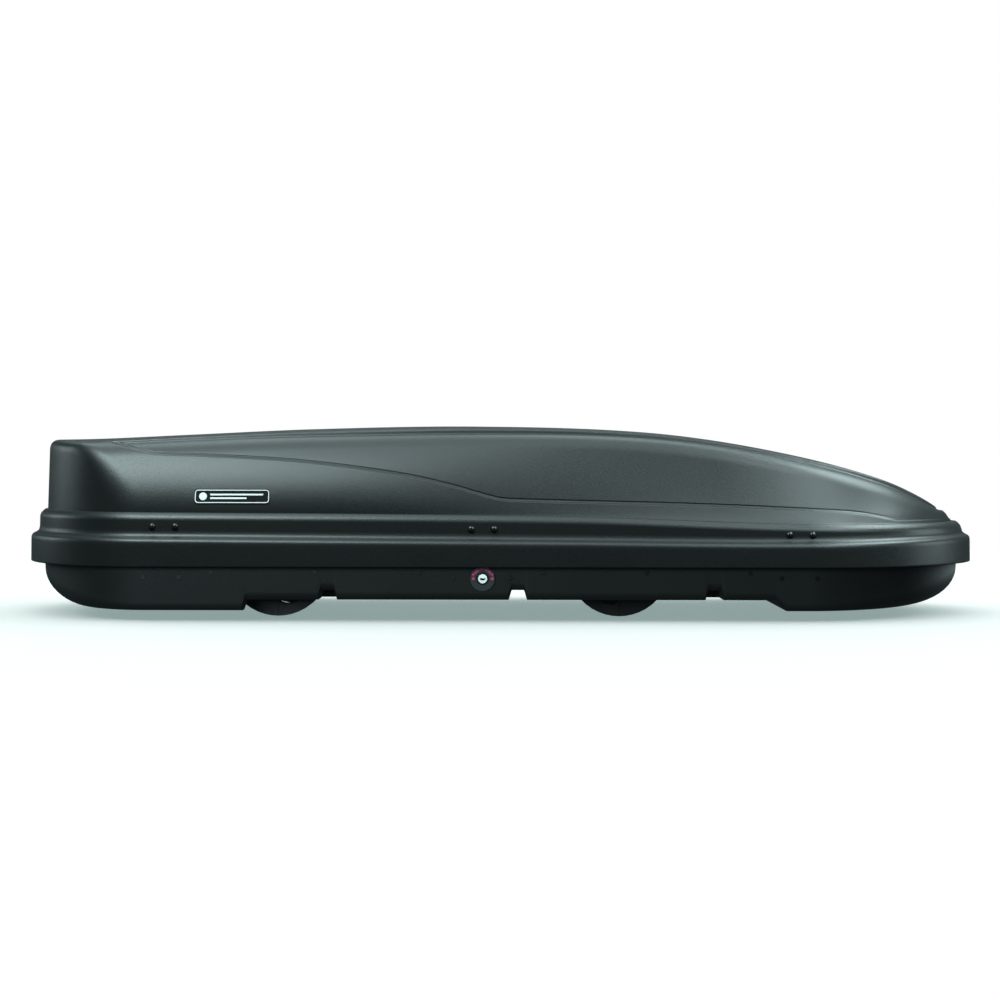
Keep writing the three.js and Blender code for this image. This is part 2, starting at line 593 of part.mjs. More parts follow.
// ---------------------------------------------------------------- lock
function addLock() {
  const at = [LOCK.x, LOCK.z];
  const ring = combine([rod("y", LOCK.ring, -345.6, -342.4, at, 32)], [rod("y", 12.6, -350, -340, at, 24)]);
  addPart("lock_ring", ring, RING_GREY);
  const sleeve = rod("y", 11.8, -346, -323, at, 24);
  const flange = block([LOCK.x - 20, LOCK.x + 20], [-334.5, -331], [LOCK.z - 16, LOCK.z + 11.5]);
  const bores = [rod("y", LOCK.barrel + 0.4, -350, -327, at, 24), rod("y", LOCK.shaft + 0.4, -350, -320, at)];
  addPart("lock_housing", combine([sleeve, flange], bores), CLAMP_BLACK);
  const barrel = rod("y", LOCK.barrel, -347.5, -327.4, at, 24);
  const shaft = rod("y", LOCK.shaft, -328, -320, at);
  const slot = block([LOCK.x - 4.5, LOCK.x + 4.5], [-350, -341], [LOCK.z - 1, LOCK.z + 1]);
  addPart("lock_barrel", combine([barrel, shaft], [slot]), STEEL);
  const arm = new THREE.Group();
  arm.position.set(LOCK.x, 0, LOCK.z);
  arm.rotation.y = -Math.PI / 4;
  box.add(arm);
  const lever = block([-5, 5], [-319.6, -317], [-7, CAM_ARM + 4]);
  addPart("lock_cam", combine([lever, rod("y", 2.5, -334, -318, [0, CAM_ARM])]), ZINC, arm);

  const guide = block([-610, 520], [-337.5, -326], [94.4, 118]);
  const inside = block([-620, 530], [-335.5, -320], [96.2, 116.2]);
  const camGap = block([LOCK.x - 34, LOCK.x + 34], [-340, -320], [90, 97]);
  const hookGap = block([LOCK.x - 58, LOCK.x - 38 + BAR_TRAVEL], [-334, -320], [110, 120]);
  addPart("lock_bar_guide", combine([guide], [inside, camGap, hookGap]), ZINC);
  const strip = block([STATIONS.rear - 60, STATIONS.front + 20], [-333.2, -330.2], [96.8, 115.4]);
  const fork = block([LOCK.x - 17 - 3.4, LOCK.x - 17 + 3.4], [-340, -320], [90, 110.2]);
  addPart("lock_bar", combine([strip], [fork]), STEEL);
  for (const [end, x] of Object.entries(STATIONS)) {
    const post = block([x - 56, x - 41], [-329.9, -327.4], [98, 144]);
    const nose = block([x - 43, x - 9], [-329.9, -327.4], [134, 144]);
    addPart(`latch_hook_${end}`, combine([post, nose]), STEEL);
    addPart(`striker_${end}`, striker(x), ZINC);
  }
}

// The lid's catch: a bracket off the band's inside, with a pin that the hook slides over.
function striker(x) {
  const ledge = lowerLedge(x);
  const bracket = [
    [-insetY(29), ledge + 8], [-insetY(29), ledge + 24], [-insetY(31), ledge + 24], [-insetY(31), ledge + 18],
    [-318, ledge + 10], [-318, STRIKER_Z - 6], [-320, STRIKER_Z - 6], [-320, ledge + 8],
  ];
  const plate = plateYZ(bracket.reverse(), x - 12, x + 12);
  return combine([plate, rod("y", 3.5, -334, -319, [x, STRIKER_Z])]);
}

// ---------------------------------------------------------------- lid struts
// The two ends lie on one circle round the hinge axis, so the strut turns by half the lid's angle.
function strutEnd(angle) {
  const [out, up] = [STRUT_RADIUS * Math.cos(angle), STRUT_RADIUS * Math.sin(angle)];
  return new THREE.Vector2(HINGE.y - out, HINGE.z + up);
}

function addStruts() {
  const foot = strutEnd(STRUT_LOW);
  const head = strutEnd(STRUT_HIGH);
  const length = head.distanceTo(foot);
  const tilt = Math.atan2(head.y - foot.y, head.x - foot.x);
  for (const [end, x] of Object.entries(STRUTS)) {
    const strut = new THREE.Group();
    strut.position.set(x, foot.x, foot.y);
    strut.rotation.x = tilt;
    box.add(strut);
    const eye = (at, r) => rod("x", r, -5, 5, [at, 0]);
    const bore = 4.4;
    const tube = rod("y", 8, 6, 118, [0, 0], 20);
    const tubeCuts = [eye(0, 3.4), rod("y", bore, 20, 130, [0, 0])];
    addPart(`strut_tube_${end}`, combine([tube, eye(0, 8)], tubeCuts), BASE_BLACK, strut);
    const link = block([-4, 4], [length - 14, length + 9], [-7, 7]);
    const [slotLow, slotHigh] = [length - 3.8, length + 3.8];
    const slide = [eye(slotLow, 3.4), eye(slotHigh, 3.4), block([-5, 5], [slotLow, slotHigh], [-3.4, 3.4])];
    addPart(`strut_rod_${end}`, combine([rod("y", 4, 24, length - 12, [0, 0]), link], slide), STEEL, strut);

    const floor = (end === "front" ? FLOOR_MIDDLE : FLOOR_END) + WALL + 0.4;
    const base = block([x - 8, x + 22], [foot.x - 20, foot.x + 20], [floor, floor + 3]);
    const ear = block([x + 8.5, x + 11.5], [foot.x - 9, foot.x + 9], [floor, foot.y + 9]);
    const pin = rod("x", 3, x - 7, x + 9, [foot.x, foot.y]);
    addPart(`strut_foot_${end}`, combine([base, ear, pin]), ZINC);

    const wallAt = (z) => lidSideY(x, z, WALL) - 1.6;
    const [under, over] = [head.y - 14, head.y + 14];
    const pad = plateYZ(
      [[wallAt(under) - 6, under], [wallAt(under), under], [wallAt(over), over], [wallAt(over) - 6, over]],
      x + 5,
      x + 25,
    );
    const arm = block([x + 8.5, x + 11.5], [head.x - 9, wallAt(over) - 1], [head.y - 9, head.y + 9]);
    const stud = rod("x", 3, x - 7, x + 9, [head.x, head.y]);
    addPart(`strut_head_${end}`, combine([arm, pad, stud]), ZINC);
  }
}

// ---------------------------------------------------------------- badge
// A plain plate on the lid's right side, lying along its slope.
function addBadge() {
  const [x, z, rise] = [-517, 239, 14];
  const across = lidSideY(x, z + rise, 0) - lidSideY(x, z - rise, 0);
  const badge = addPart("badge", new THREE.BoxGeometry(148, 1.6, 30), BADGE_BLACK);
  badge.position.set(x, -lidSideY(x, z, 0) - 1.3, z);
  badge.rotation.x = Math.atan2(across, 2 * rise);
}

addPart("lid_shell", toGeometry(toSolid(lidShell())), LID_GREY);
addPart("base_shell", lowerShell(), BASE_BLACK);
addPart("rail_left", rail(BAR_Y), STEEL);
addPart("rail_right", rail(-BAR_Y), STEEL);
addClamps();
addHinges();
addLock();
addStruts();
addBadge();

export default box;
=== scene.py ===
# Looks for a roof cargo box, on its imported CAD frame. The shells are worked out in millimetres and
# built in metres: +X is the car's forward direction, +Y its left, +Z up. The lock side faces -Y.
import json
import math

import bmesh
import bpy
import numpy as np
from mathutils import Matrix, Vector

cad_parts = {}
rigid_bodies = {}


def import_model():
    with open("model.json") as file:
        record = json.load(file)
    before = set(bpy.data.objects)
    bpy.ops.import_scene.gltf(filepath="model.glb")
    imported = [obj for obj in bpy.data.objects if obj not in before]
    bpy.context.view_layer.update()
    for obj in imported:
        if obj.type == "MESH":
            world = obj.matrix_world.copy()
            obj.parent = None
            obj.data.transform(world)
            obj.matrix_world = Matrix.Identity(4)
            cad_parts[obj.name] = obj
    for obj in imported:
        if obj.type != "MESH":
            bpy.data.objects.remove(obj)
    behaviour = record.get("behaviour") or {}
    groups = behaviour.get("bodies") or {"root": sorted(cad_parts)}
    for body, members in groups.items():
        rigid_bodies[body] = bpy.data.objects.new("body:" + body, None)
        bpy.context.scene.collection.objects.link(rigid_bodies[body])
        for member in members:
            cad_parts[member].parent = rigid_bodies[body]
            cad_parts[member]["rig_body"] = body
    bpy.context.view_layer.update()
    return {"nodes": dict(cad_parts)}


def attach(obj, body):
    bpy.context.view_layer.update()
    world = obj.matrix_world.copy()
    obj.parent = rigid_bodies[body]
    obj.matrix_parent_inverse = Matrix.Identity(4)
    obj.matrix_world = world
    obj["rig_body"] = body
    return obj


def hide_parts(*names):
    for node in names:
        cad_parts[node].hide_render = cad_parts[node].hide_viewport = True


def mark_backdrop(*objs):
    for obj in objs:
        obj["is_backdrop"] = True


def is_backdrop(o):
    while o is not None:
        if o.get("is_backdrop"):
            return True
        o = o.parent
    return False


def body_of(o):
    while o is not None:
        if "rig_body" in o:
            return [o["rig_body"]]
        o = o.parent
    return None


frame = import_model()

MM = 0.001

# ---------------------------------------------------------------- dimensions shared with the CAD
NOSE_END, TAIL_END = 975, -968
HALF_WIDTH = 370
NOSE_START, NOSE_POWER = 600, 1.75
TAIL_START, TAIL_POWER = -690, 1.85
WALL = 4
SKIRT_BOTTOM = 104
BODY_INSET = 34
NOSE_EASE = 75  # how far either way the start of the nose's turn is eased
EASE_STEPS = (-1, -0.75, -0.5, -0.25, 0, 0.25, 0.5, 0.75, 1)
EASE_GONE, EASE_FADE = NOSE_END - 80, 200  # no easing past here, and full easing this far behind it
BODY_DRAFT = 0.03
SIDE_CLEAR = 16  # keeps the end walls' surface outside the leaning sides, along the straight part
REAR_FALL, REAR_POWER = 85, 1.8  # how the sides lean in at the rear
FRONT_FALL, FRONT_POWER = 62, 0.8  # and at the front
NOSE_FALL = 50  # more lean round the nose
LEAN_CHANGE = (-350, 800)  # from the rear's lean to the front's: where it starts, and its length
NOSE_CHANGE = (430, 480)  # the same for the nose's added lean
CHEEK_HEIGHT = 160
SIDE_WEIGHT = 0.87  # turns a distance along Y into about one square to the leaning sides
SHOULDER = 28
CORNER = 20
ROOF_CROWN, CROWN_HALF = 10, 250  # the roof falls this much, this far from its centre line
ROOF_INSET = 0.15  # keeps the finer roof inside the CAD's coarser one
STEP, STEP_HALF = 3, 1.5  # the panels' height over the recessed flank, and half its slope's width
STEP_REAR = (-800, 25)  # where the crease's step comes in
STEP_FRONT = (700, 90)  # and where it goes out
PANEL_STEP, PANEL_FADE = 3, 45  # more height of the roof panel's edge, and how far it reaches down
PANEL_SHARE = 0.7  # the roof panel's half width as a share of the body's
PANEL_TAPER, PANEL_POWER = (560, 345), 2.1  # where the panel's front narrows to a point, and how
GROOVE, GROOVE_HALF = 1.1, 2  # depth and half width of the fine groove at the foot of both steps

BOWL_INSET = 29  # the wall's foot, which is 1 mm further in than its top
FLOOR_END, FLOOR_MIDDLE = 19, 40
CORNER_OUT, CORNER_UP = (16, 105), (16, 74)  # the lower corner's radii along the sides and at the ends
RECESS_FRONT, RECESS_REAR, RECESS_REAR_EDGE = 543, -570, -490
RECESS_EDGE_HALF = 300  # the recess reaches less far to the rear outside this
SLOPE_FRONT, SLOPE_REAR, SLOPE_RIB = 11, 6, 5.5  # lengths of the recess's and grooves' sloping ends
RIB_DEPTH, RIB_HALF, RIB_END = 19, 12, 16
RIBS = [(415, 228), (35, 0), (-332, 228)]  # x, and how near the groove comes to the centre line
BAR_X = {"front": 210, "rear": -413}
BAR_Y = {"left": 190, "right": -190}
CLAMP_SHORT, CLAMP_LONG, CLAMP_HALF = 77, 133, 26  # a clamp's opening in the floor, from its bar
CLAMP_CUT = (30, 60)  # heights that it's cut through
LOCK_X, LOCK_Z = -33, 82
HOLE_RADIUS, HOLE_Y = 12.4, (-355, -325)  # the lock's hole through the lower shell's wall
PRINT_Y, KEYWAY_SHADE_Y = -345.62, -347.5  # PRINT_Y, KEYWAY_SHADE_Y = -345.62, -347.5 # the faces of the lock's ring and barrel, where the print and the painted keyway shade sit
STATIONS = [-646, -33, 579]
RIVET_GAP = 22  # half the distance between a pair of the lid's rivets
RIVET_DROP = 3  # how far they sit below the band's middle
BASE_RIVET_Y = -342
BADGE_X, BADGE_Z, BADGE_HALF = -517, 239, 14


def curve(knots):
    """A smooth curve through knots (x, value), for arrays."""
    knots = np.array(knots, float)
    slope = np.gradient(knots[:, 1], knots[:, 0])
    for i in range(1, len(knots) - 1):
        slope[i] = (knots[i + 1, 1] - knots[i - 1, 1]) / (knots[i + 1, 0] - knots[i - 1, 0])

    def value(x):
        x = np.clip(x, knots[0, 0], knots[-1, 0])
        i = np.clip(np.searchsorted(knots[:, 0], x), 1, len(knots) - 1)
        x0, y0, y1 = knots[i - 1, 0], knots[i - 1, 1], knots[i, 1]
        width = knots[i, 0] - x0
        t = (x - x0) / width
        lean = (1 - t) * slope[i - 1] - t * slope[i]
        bulge = (y1 - y0) / width
        return y0 + (y1 - y0) * t + t * (1 - t) * width * (lean - bulge * (1 - 2 * t))

    return value


roof_line = curve([
    (-941, 350.5), (-820, 353), (-640, 361.5), (-380, 373.5), (-50, 379.5), (290, 368.5),
    (530, 336), (760, 279), (904, 212), (941, 189),
])
lower_ledge = curve([(-960, 162), (-770, 161), (135, 155), (560, 152), (960, 160)])
upper_ledge = curve([(-945, 209), (-770, 209), (135, 202), (560, 188), (940, 186)])
# The long crease down the lid's side: what is behind and below it stands proud.
crease_line = curve([
    (-790, 352), (-745, 338), (-700, 326), (-664, 320), (-585, 317.5), (-389, 306), (-194, 281), (-97, 260),
    (-39, 243.5), (-3, 234), (20, 231.5), (193, 227), (387, 222), (601, 213), (704, 206), (780, 192),
])


def smooth(t):
    """Goes from 0 to 1 with t, level at both ends."""
    t = np.clip(t, 0, 1)
    return t * t * (3 - 2 * t)


def change(x, place):
    """Goes from 0 to 1 over a place, given by its start and length."""
    start, length = place
    return smooth((x - start) / length)


def smooth_max(a, b, rounding):
    """The larger of two distances, with the edge between them rounded."""
    near = np.maximum(rounding - np.abs(a - b), 0) / rounding
    return np.maximum(a, b) + near * near * rounding / 4


# ---------------------------------------------------------------- stations and outlines
class Stations:
    """Places round the right half of the box, from the nose, along the side, to the tail."""

    def __init__(self, side_x, nose_steps, tail_steps):
        nose = np.radians(np.linspace(0, 90, nose_steps, endpoint=False))
        tail = np.radians(np.linspace(90, 180, tail_steps + 1))[1:]
        side = np.array(sorted(side_x, reverse=True), float)
        ends = [NOSE_START * np.ones(len(nose)), side, TAIL_START * np.ones(len(tail))]
        self.start = np.concatenate(ends)
        self.along = np.concatenate([
            np.cos(nose) ** (2 / NOSE_POWER),
            np.zeros(len(side)),
            -(np.abs(np.cos(tail)) ** (2 / TAIL_POWER)),
        ])
        self.across = np.concatenate([
            np.sin(nose) ** (2 / NOSE_POWER),
            np.ones(len(side)),
            np.clip(np.sin(tail), 0, 1) ** (2 / TAIL_POWER),
        ])
        self.across[-1] = 0
        self.endness = np.concatenate([np.cos(nose) ** 2, np.zeros(len(side)), np.cos(tail) ** 2])

    def outline(self, inset):
        """The plan's points (x, y), inset from the skirt."""
        front, rear = NOSE_END - NOSE_START, TAIL_START - TAIL_END
        reach = np.where(self.along > 0, front, rear) - inset
        return self.start + self.along * reach, -self.across * (HALF_WIDTH - inset)


def band_rows(stations, rows):
    """Points (station, row, xyz) for rows of (inset, which height it counts from, height).

    On the flat band between the ledges the height is a share of the band's own.
    """
    points = []
    for inset, level, height in rows:
        x, y = stations.outline(inset)
        low, high = lower_ledge(x), upper_ledge(x)
        z = {
            "edge": SKIRT_BOTTOM + height + 0 * x,
            "lower": low + height,
            "upper": high + height,
            "band": low + BAND_FOOT + height * (high - low - BAND_FOOT - BAND_TOP),
        }[level]
        points.append(np.stack([x, y, z], -1))
    return np.stack(points, 1)


# ---------------------------------------------------------------- the lid's upper body
def foot_half_width(x):
    """Half the body's width at its foot, eased over the place where the nose starts to turn in."""
    width = HALF_WIDTH - BODY_INSET
    ease = NOSE_EASE * smooth((EASE_GONE - x) / EASE_FADE)
    total = 0 * x
    for step in EASE_STEPS:
        share = np.clip((x + step * ease - NOSE_START) / (NOSE_END - NOSE_START - BODY_INSET), 0, 1)
        total = total + width * (1 - share**NOSE_POWER) ** (1 / NOSE_POWER)
    return total / len(EASE_STEPS)


def cheek_half_width(x, z):
    """Half the width between the leaning sides."""
    rise = np.maximum(z - upper_ledge(x), 0) / CHEEK_HEIGHT
    rear = REAR_FALL * rise**REAR_POWER
    front = (FRONT_FALL + NOSE_FALL * change(x, NOSE_CHANGE)) * rise**FRONT_POWER
    share = change(x, LEAN_CHANGE)
    return foot_half_width(x) - rear * (1 - share) - front * share


def panel_half_width(x):
    """Half the width of the raised roof panel at x."""
    start, length = PANEL_TAPER
    reach = np.clip((x - start) / length, 0, 1)
    return PANEL_SHARE * (HALF_WIDTH - BODY_INSET) * (1 - reach**PANEL_POWER) ** (1 / PANEL_POWER)


def groove_depth(past):
    """Depth of the fine groove, by the distance past a step's edge."""
    across = np.clip(np.abs(past - STEP_HALF - GROOVE_HALF) / GROOVE_HALF, 0, 1)
    return GROOVE * (1 - across**2) ** 2


def recess(x, y, z):
    """How far the flank between the crease and the roof panel lies below the proud surfaces."""
    above = z - crease_line(x)
    slope = (-STEP_HALF, 2 * STEP_HALF)
    over_crease = change(above, slope)
    behind = change(x, STEP_REAR)
    before = 1 - change(x, STEP_FRONT)
    out = np.abs(y) - panel_half_width(x)
    off_panel = change(out, slope)
    fade = np.exp(-((np.maximum(out, 0) / PANEL_FADE) ** 2))
    step = STEP * over_crease * before + groove_depth(above) * before
    panel_step = (STEP * (1 - before) + PANEL_STEP) * fade * over_crease + groove_depth(out)
    return off_panel * behind * (step + panel_step)


RUN_STEPS = 900  # directions from the upper ledge up to the centre line
OUT_OF_REACH = 700  # further from the ledge's centre than the roof or the ends
HALVINGS = 28  # closes in on the surface to well below a micron
SIDE_CLEAR_POWER = 40


def upper_body(stations, offset):
    """Points (station, step, xyz) from the upper ledge to the centre line, set in by offset."""
    foot_x, foot_y = stations.outline(BODY_INSET)
    dx, dy = foot_x - stations.start, foot_y
    reach = np.hypot(dx, dy)
    dx, dy = (dx / reach)[:, None], (dy / reach)[:, None]
    centre = stations.start[:, None]
    z0 = upper_ledge(foot_x)[:, None]
    angle = np.linspace(0, math.pi / 2, RUN_STEPS)[None, :]
    c, s = np.cos(angle), np.sin(angle)
    c[0, -1] = 0
    full = (reach + SIDE_CLEAR * stations.across**SIDE_CLEAR_POWER)[:, None]
    low = np.zeros((len(reach), angle.size))
    high = low + OUT_OF_REACH
    for _ in range(HALVINGS):
        r = (low + high) / 2
        x, y, h = centre + dx * r * c, dy * r * c, r * s
        z = z0 + h
        side = SIDE_WEIGHT * (np.abs(y) - cheek_half_width(x, z))
        roof = z - (roof_line(x) - ROOF_INSET - ROOF_CROWN * (y / CROWN_HALF) ** 2)
        end = r * c - (full - BODY_DRAFT * h)
        value = smooth_max(end, smooth_max(side, roof, SHOULDER), CORNER) + offset + recess(x, y, z)
        low, high = np.where(value < 0, r, low), np.where(value < 0, high, r)
    r = low
    return rows_along(np.stack([centre + dx * r * c, dy * r * c, z0 + r * s], -1))


ROWS = 50  # in each of the plain stretches: below the crease, up to the roof panel and across it
CLOSE_ROWS = np.linspace(-4, 9, 15)  # round an edge: its step, and the groove past it
CLEAR = 10  # between the close rows' edge and the plain stretch past their groove
CREASE_CLEAR, PANEL_CLEAR = 14, 24  # least distances of the crease from the ledge and the panel
PANEL_LOW, PANEL_HIGH = 0.45, 0.85  # where the panel's edge may come, as shares of the run


def rows_along(points):
    """The same runs of points, with close rows along the crease and the roof panel's edge."""
    out = []
    for run in points:
        length = np.concatenate([[0], np.cumsum(np.linalg.norm(np.diff(run, axis=0), axis=1))])
        total = length[-1]
        inside = np.abs(run[:, 1]) <= panel_half_width(run[:, 0])
        panel = length[np.argmax(inside)] if inside.any() else total
        panel = np.clip(panel, PANEL_LOW * total, PANEL_HIGH * total)
        over = run[:, 2] >= crease_line(run[:, 0])
        crease = length[np.argmax(over)] if over.any() else panel
        crease = np.clip(crease, CREASE_CLEAR, panel - PANEL_CLEAR)
        at = np.concatenate([
            np.linspace(0, crease - CLEAR / 2, ROWS),
            crease + CLOSE_ROWS,
            np.linspace(crease + CLEAR, panel - CLEAR, ROWS),
            panel - CLOSE_ROWS[::-1],
            np.linspace(panel + CLEAR / 2, total, ROWS),
        ])
        out.append([np.interp(at, length, run[:, k]) for k in range(3)])
    return np.moveaxis(np.array(out), 1, 2)


# ---------------------------------------------------------------- meshes
def shell_object(name, half):
    """One closed shell from the sections of its right half."""
    mirrored = half[1:-1][::-1] * [1, -1, 1]
    grid = np.concatenate([half, mirrored])
    rings, steps = grid.shape[:2]
    faces = []
    for i in range(rings):
        j = (i + 1) % rings
        for k in range(steps - 1):
            faces.append((i * steps + k, i * steps + k + 1, j * steps + k + 1, j * steps + k))
    mesh = bpy.data.meshes.new(name)
    mesh.from_pydata((grid.reshape(-1, 3) * MM).tolist(), [], faces)
    bm = bmesh.new()
    bm.from_mesh(mesh)
    bmesh.ops.remove_doubles(bm, verts=bm.verts, dist=2e-6)
    bmesh.ops.dissolve_degenerate(bm, edges=bm.edges, dist=1e-7)
    bm.to_mesh(mesh)
    bm.free()
    obj = bpy.data.objects.new(name, mesh)
    bpy.context.collection.objects.link(obj)
    return obj


def smooth_by_angle(obj, degrees=35):
    bm = bmesh.new()
    bm.from_mesh(obj.data)
    limit = math.radians(degrees)
    for face in bm.faces:
        face.smooth = True
    for edge in bm.edges:
        edge.smooth = edge.calc_face_angle(0) < limit
    bm.to_mesh(obj.data)
    bm.free()


def mesh_object(name, bm):
    mesh = bpy.data.meshes.new(name)
    bm.to_mesh(mesh)
    bm.free()
    obj = bpy.data.objects.new(name, mesh)
    bpy.context.collection.objects.link(obj)
    return obj


def bevelled(obj, width, segments=3):
    """Rounds a piece's sharp edges."""
    modifier = obj.modifiers.new("edges", "BEVEL")
    modifier.width = width * MM
    modifier.segments = segments
    modifier.limit_method = "ANGLE"
    modifier.angle_limit = math.radians(40)
    modifier.use_clamp_overlap = True
    modifier.harden_normals = False
    return obj


def apply_modifiers(obj):
    depsgraph = bpy.context.evaluated_depsgraph_get()
    mesh = bpy.data.meshes.new_from_object(obj.evaluated_get(depsgraph))
    obj.modifiers.clear()
    obj.data = mesh


def cut_away(obj, cutters):
    """Takes the cutters' shapes out of obj."""
    for cutter in cutters:
        modifier = obj.modifiers.new("cut", "BOOLEAN")
        modifier.object = cutter
        modifier.operation = "DIFFERENCE"
        modifier.solver = "EXACT"
    apply_modifiers(obj)
    for cutter in cutters:
        bpy.data.objects.remove(cutter)


def box_object(x, y, z):
    bm = bmesh.new()
    bmesh.ops.create_cube(bm, size=1)
    size = [high - low for low, high in (x, y, z)]
    middle = [(low + high) / 2 for low, high in (x, y, z)]
    bmesh.ops.scale(bm, verts=bm.verts, vec=Vector(size) * MM)
    bmesh.ops.translate(bm, verts=bm.verts, vec=Vector(middle) * MM)
    return mesh_object("cutter", bm)


def turned(profile, at, facing, segments=32):
    """A bmesh turned from a profile of (radius, height) round a line through at, along facing."""
    bm = bmesh.new()
    rings = []
    for radius, height in profile:
        ring = []
        for i in range(segments):
            a = 2 * math.pi * i / segments
            ring.append(bm.verts.new((radius * MM * math.cos(a), radius * MM * math.sin(a), height * MM)))
        rings.append(ring)
    for near, far in zip(rings, rings[1:]):
        for i in range(segments):
            j = (i + 1) % segments
            bm.faces.new((near[i], near[j], far[j], far[i]))
    bm.faces.new(rings[0][::-1])
    bm.faces.new(rings[-1])
    turn = Vector((0, 0, 1)).rotation_difference(Vector(facing)).to_matrix().to_4x4()
    bm.transform(Matrix.Translation(Vector(at) * MM) @ turn)
    return bm


# ---------------------------------------------------------------- materials
def new_material(name, color, roughness, metallic=0.0, specular=0.5):
    material = bpy.data.materials.new(name)
    material.use_nodes = True
    shader = material.node_tree.nodes["Principled BSDF"]
    shader.inputs["Base Color"].default_value = (*color, 1)
    shader.inputs["Roughness"].default_value = roughness
    shader.inputs["Metallic"].default_value = metallic
    shader.inputs["Specular IOR Level"].default_value = specular
    return material, shader


def node(material, kind, **values):
    made = material.node_tree.nodes.new(kind)
    for name, value in values.items():
        if hasattr(made, name):
            setattr(made, name, value)
        else:
            made.inputs[name.replace("_", " ")].default_value = value
    return made


def link(material, output, socket):
    material.node_tree.links.new(output, socket)


def noise(material, scale, detail=2.0, coordinates=None):
    texture = node(material, "ShaderNodeTexNoise", Scale=scale, Detail=detail)
    source = coordinates or node(material, "ShaderNodeTexCoord").outputs["Object"]
    link(material, source, texture.inputs["Vector"])
    return texture.outputs["Fac"]


def spread(material, value, low, high, to_low, to_high):
    """Maps a value from one range to another."""
    mapped = node(material, "ShaderNodeMapRange")
    for name, number in zip(("From Min", "From Max", "To Min", "To Max"), (low, high, to_low, to_high)):
        mapped.inputs[name].default_value = number
    link(material, value, mapped.inputs["Value"])
    return mapped.outputs["Result"]


def tint(material, value, dark, light):
    """A colour between two, by a value from 0 to 1."""
    ramp = node(material, "ShaderNodeValToRGB")
    ramp.color_ramp.elements[0].color = (*dark, 1)
    ramp.color_ramp.elements[1].color = (*light, 1)
    link(material, value, ramp.inputs["Fac"])
    return ramp.outputs["Color"]


def grained_plastic(name, dark, light, roughness, grain, bump):
    """Formed plastic: a fine pebbled grain, soft blotches and slightly uneven gloss."""
    material, shader = new_material(name, light, roughness)
    fine = noise(material, grain, 3.0)
    broad = noise(material, 9.0, 3.0)
    mixed = tint(material, spread(material, broad, 0.3, 0.7, 0, 1), dark, light)
    link(material, mixed, shader.inputs["Base Color"])
    uneven = spread(material, fine, 0.3, 0.7, roughness - 0.05, roughness + 0.07)
    link(material, uneven, shader.inputs["Roughness"])
    relief = node(material, "ShaderNodeBump", Strength=bump, Distance=0.0012)
    link(material, fine, relief.inputs["Height"])
    link(material, relief.outputs["Normal"], shader.inputs["Normal"])
    return material


def metal(name, color, roughness, streaks, metallic=1.0):
    """Metal with fine streaks along X and faint stains."""
    material, shader = new_material(name, color, roughness, metallic)
    place = node(material, "ShaderNodeTexCoord")
    stretch = node(material, "ShaderNodeMapping")
    stretch.inputs["Scale"].default_value = (1, streaks, streaks)
    link(material, place.outputs["Object"], stretch.inputs["Vector"])
    lines = noise(material, 60.0, 4.0, stretch.outputs["Vector"])
    stains = noise(material, 35.0, 3.0)
    worn = [0.8 * part for part in color]
    mixed = tint(material, spread(material, stains, 0.35, 0.65, 0, 1), worn, color)
    link(material, mixed, shader.inputs["Base Color"])
    uneven = spread(material, lines, 0.3, 0.7, roughness - 0.08, roughness + 0.1)
    link(material, uneven, shader.inputs["Roughness"])
    relief = node(material, "ShaderNodeBump", Strength=0.1, Distance=0.0003)
    link(material, lines, relief.inputs["Height"])
    link(material, relief.outputs["Normal"], shader.inputs["Normal"])
    return material


# The darker and the lighter colour, the roughness, how fine the grain is and its relief.
LID_GREY = grained_plastic("lid_grey", (0.006, 0.0072, 0.0072), (0.0072, 0.0086, 0.0086), 0.4, 420, 0.22)
BASE_BLACK = grained_plastic("base_black", (0.021, 0.025, 0.025), (0.025, 0.029, 0.029), 0.6, 420, 0.25)
CLAMP_BLACK = grained_plastic("clamp_black", (0.013, 0.015, 0.015), (0.017, 0.019, 0.02), 0.42, 900, 0.12)
KNOB_GREY = grained_plastic("knob_grey", (0.03, 0.034, 0.036), (0.036, 0.04, 0.042), 0.5, 900, 0.2)
RING_GREY = grained_plastic("ring_grey", (0.085, 0.11, 0.12), (0.095, 0.122, 0.132), 0.5, 1500, 0.1)
FLUSH_BLACK = grained_plastic("flush_black", (0.003, 0.0035, 0.0035), (0.005, 0.006, 0.006), 0.4, 2500, 0.04)
# The rivets' own black, which also paints the shade of the keyway's opening on the lock barrel.
RIVET_BLACK_AND_KEYWAY_SHADE = grained_plastic("rivet_black", (0.006, 0.007, 0.007), (0.01, 0.011, 0.011), 0.2, 2500, 0.04)
BADGE_BLACK = grained_plastic("badge_black", (0.004, 0.005, 0.005), (0.008, 0.009, 0.009), 0.22, 3000, 0.03)
PRINT_WHITE = grained_plastic("print_white", (0.72, 0.74, 0.73), (0.8, 0.81, 0.8), 0.4, 3000, 0.04)
PRINT_RED = grained_plastic("print_red", (0.85, 0.025, 0.17), (0.95, 0.035, 0.21), 0.45, 3000, 0.04)
# The colour, the roughness, how narrow the streaks are and, if not 1, the metallic share.
STEEL = metal("steel", (0.55, 0.56, 0.57), 0.34, 14)
ZINC = metal("zinc", (0.44, 0.45, 0.45), 0.45, 6)
BRIGHT = metal("bright", (0.9, 0.9, 0.9), 0.26, 3, 0.25)


def paint(obj, material):
    obj.data.materials.clear()
    obj.data.materials.append(material)
    return obj


def piece(obj, material, body):
    """Makes obj a visible piece of the part."""
    paint(obj, material)
    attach(obj, body)
    return obj


# ---------------------------------------------------------------- lid
BAND_FOOT, BAND_TOP = 12, 14  # how far above the lower and below the upper ledge the band is flat
BAND_INSET = (17.6, 18.1)  # at its foot and top
